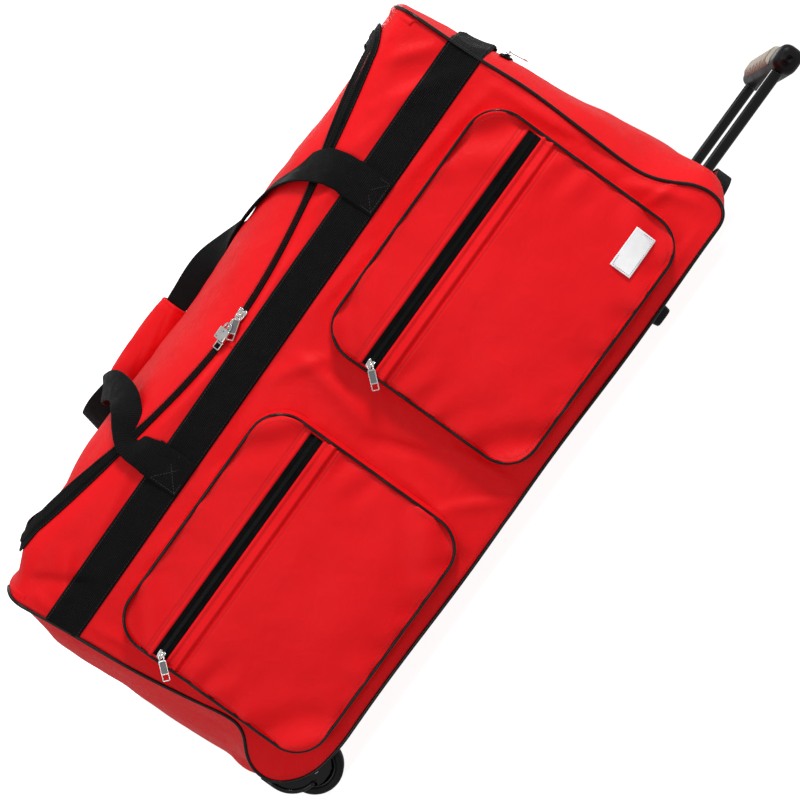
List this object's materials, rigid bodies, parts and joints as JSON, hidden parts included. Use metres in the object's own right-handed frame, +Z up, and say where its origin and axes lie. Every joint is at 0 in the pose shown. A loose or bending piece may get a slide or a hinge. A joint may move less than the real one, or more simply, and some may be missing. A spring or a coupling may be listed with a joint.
{
  "type": "rolling duffel bag",
  "caption": "Large soft wheeled duffel bag with a zipped lid flap, box pockets on the front, webbing carry handles, a telescopic pull handle and inset wheels.",
  "frame": {"origin": "middle of the footprint on the floor, with the bag lying on its wheels and feet", "axes": "+X along the length towards the telescopic handle, +Z up, the pockets face -Y"},
  "size_m": [1.0982, 0.4664, 0.5267],
  "materials": {
    "red_fabric": "smooth fine polyester, soft sheen",
    "black_webbing": "ribbed polypropylene webbing, matt",
    "black_tape": "knitted zip tape with coil chain, matt",
    "piping": "satin cord edging",
    "black_plastic": "moulded, fine texture",
    "gloss_black_tube": "gloss black coated tube",
    "grey_grip": "soft ribbed insert, matt",
    "nickel": "polished nickel plate",
    "steel": "satin",
    "tyre": "matt rubber",
    "label": "blank silver grey woven label",
    "board": "stiffener board"
  },
  "bodies": {
    "shell": {"front_panel": "red_fabric", "back_panel": "red_fabric", "wheel_end_panel": "red_fabric", "handle_end_panel": "red_fabric", "base_panel": "red_fabric", "base_board": "board", "main_zip_shell_tape": "black_tape", "front_piping": "piping", "back_piping": "piping", "front_band": "black_webbing", "back_band": "black_webbing", "handle_end_band": "black_webbing", "pocket_wheel_side": "red_fabric", "pocket_handle_side": "red_fabric", "pocket_piping_wheel_side": "piping", "pocket_piping_handle_side": "piping", "pocket_zip_tape_wheel_side": "black_tape", "pocket_zip_tape_handle_side": "black_tape", "blank_label": "label", "end_pocket_zip_tape": "black_tape", "grab_handle": "black_webbing", "telescope_mouth": "black_plastic", "telescope_cover": "board", "outer_tube_front": "gloss_black_tube", "outer_tube_back": "gloss_black_tube", "wheel_housing_front": "black_plastic", "wheel_housing_back": "black_plastic", "axle_front": "steel", "axle_back": "steel", "foot_front": "black_plastic", "foot_back": "black_plastic"},
    "lid": {"lid_panel": "red_fabric", "main_zip_lid_tape": "black_tape"},
    "front_handle": {"front_carry_handle": "black_webbing", "handle_wrap": "red_fabric"},
    "rear_handle": {"rear_carry_handle": "black_webbing"},
    "slider_a": {"main_slider_a": "nickel"},
    "pull_a": {"main_pull_a": "nickel"},
    "slider_b": {"main_slider_b": "nickel"},
    "pull_b": {"main_pull_b": "nickel"},
    "padlock": {"padlock_body": "nickel", "padlock_shackle": "steel"},
    "pocket_slider_w": {"pocket_slider_wheel_side": "nickel"},
    "pocket_pull_w": {"pocket_pull_wheel_side": "nickel"},
    "pocket_slider_h": {"pocket_slider_handle_side": "nickel"},
    "pocket_pull_h": {"pocket_pull_handle_side": "nickel"},
    "end_slider": {"end_pocket_slider": "nickel"},
    "end_pull": {"end_pocket_pull": "nickel"},
    "wheel_front": {"tyre_front": "tyre", "rim_front": "black_plastic"},
    "wheel_back": {"tyre_back": "tyre", "rim_back": "black_plastic"},
    "telescope_middle": {"middle_tube_front": "gloss_black_tube", "middle_tube_back": "gloss_black_tube"},
    "telescope_inner": {"inner_tube_front": "gloss_black_tube", "inner_tube_back": "gloss_black_tube", "grip_body": "black_plastic", "grip_insert": "grey_grip"},
    "button": {"release_button": "black_plastic"}
  },
  "joints": [
    {"name": "lid_open", "type": "hinge", "parent": "shell", "child": "lid", "pos_m": [-0.10606, 0.2088, 0.4349], "axis": [-1, 0, 0], "range_deg": [0, 100]},
    {"name": "front_handle_fold", "type": "hinge", "parent": "shell", "child": "front_handle", "pos_m": [-0.09356, -0.204, 0.402], "axis": [1, 0, 0], "range_deg": [0, 190.5], "deforming": ["front_carry_handle"]},
    {"name": "rear_handle_fold", "type": "hinge", "parent": "shell", "child": "rear_handle", "pos_m": [-0.09356, 0.2302, 0.402], "axis": [-1, 0, 0], "range_deg": [0, 190.5], "deforming": ["rear_carry_handle"]},
    {"name": "main_slider_a_travel", "type": "slide", "parent": "shell", "child": "slider_a", "axis": [1, 0, 0], "range_m": [0, 0.335]},
    {"name": "main_slider_b_travel", "type": "slide", "parent": "shell", "child": "slider_b", "axis": [-1, 0, 0], "range_m": [0, 0.335]},
    {"name": "main_pull_a_flip", "type": "hinge", "parent": "slider_a", "child": "pull_a", "pos_m": [-0.09626, -0.17584, 0.44533], "axis": [-0.5736, 0.6247, 0.5299], "range_deg": [0, 110]},
    {"name": "main_pull_b_flip", "type": "hinge", "parent": "slider_b", "child": "pull_b", "pos_m": [-0.11586, -0.17584, 0.44533], "axis": [-0.0349, 0.7621, 0.6465], "range_deg": [0, 110]},
    {"name": "padlock_swing", "type": "hinge", "parent": "pull_b", "child": "padlock", "pos_m": [-0.12216, -0.17823, 0.44815], "axis": [0, 0.7626, 0.6469], "range_deg": [0, 60]},
    {"name": "pocket_slider_w_travel", "type": "slide", "parent": "shell", "child": "pocket_slider_w", "axis": [1, 0, 0], "range_m": [0, 0.295]},
    {"name": "pocket_slider_h_travel", "type": "slide", "parent": "shell", "child": "pocket_slider_h", "axis": [1, 0, 0], "range_m": [0, 0.305]},
    {"name": "pocket_pull_w_flip", "type": "hinge", "parent": "pocket_slider_w", "child": "pocket_pull_w", "pos_m": [-0.46856, -0.2309, 0.262], "axis": [-0.6691, 0, 0.7431], "range_deg": [0, 150]},
    {"name": "pocket_pull_h_flip", "type": "hinge", "parent": "pocket_slider_h", "child": "pocket_pull_h", "pos_m": [-0.04956, -0.2309, 0.262], "axis": [-0.6691, 0, 0.7431], "range_deg": [0, 150]},
    {"name": "end_slider_travel", "type": "hinge", "parent": "shell", "child": "end_slider", "pos_m": [-0.90489, 0.0131, 0.344], "axis": [0, 0, 1], "range_deg": [0, 9.5]},
    {"name": "end_pull_flip", "type": "hinge", "parent": "end_slider", "child": "end_pull", "pos_m": [0.33888, -0.06712, 0.344], "axis": [-0.043, -0.6677, 0.7431], "range_deg": [0, 150]},
    {"name": "wheel_front_spin", "type": "hinge", "parent": "shell", "child": "wheel_front", "pos_m": [-0.48606, -0.1794, 0.035], "axis": [0, 1, 0], "continuous": true},
    {"name": "wheel_back_spin", "type": "hinge", "parent": "shell", "child": "wheel_back", "pos_m": [-0.48606, 0.2056, 0.035], "axis": [0, 1, 0], "continuous": true},
    {"name": "telescope_middle_slide", "type": "slide", "parent": "shell", "child": "telescope_middle", "axis": [1, 0, 0], "range_m": [0, 0.19]},
    {"name": "telescope_inner_slide", "type": "slide", "parent": "telescope_middle", "child": "telescope_inner", "axis": [1, 0, 0], "range_m": [-0.145, 0.05]},
    {"name": "release_button_press", "type": "slide", "parent": "telescope_inner", "child": "button", "axis": [-1, 0, 0], "range_m": [0, 0.003], "stiffness_N_per_m": 300}
  ],
  "couplings": [
    {"joint": "front_handle_fold", "follows": "lid_open", "ratio": 1.9},
    {"joint": "rear_handle_fold", "follows": "lid_open", "ratio": 1.9},
    {"joint": "main_slider_a_travel", "follows": "lid_open", "m_per_rad": 0.18908},
    {"joint": "main_slider_b_travel", "follows": "lid_open", "m_per_rad": 0.18908}
  ]
}
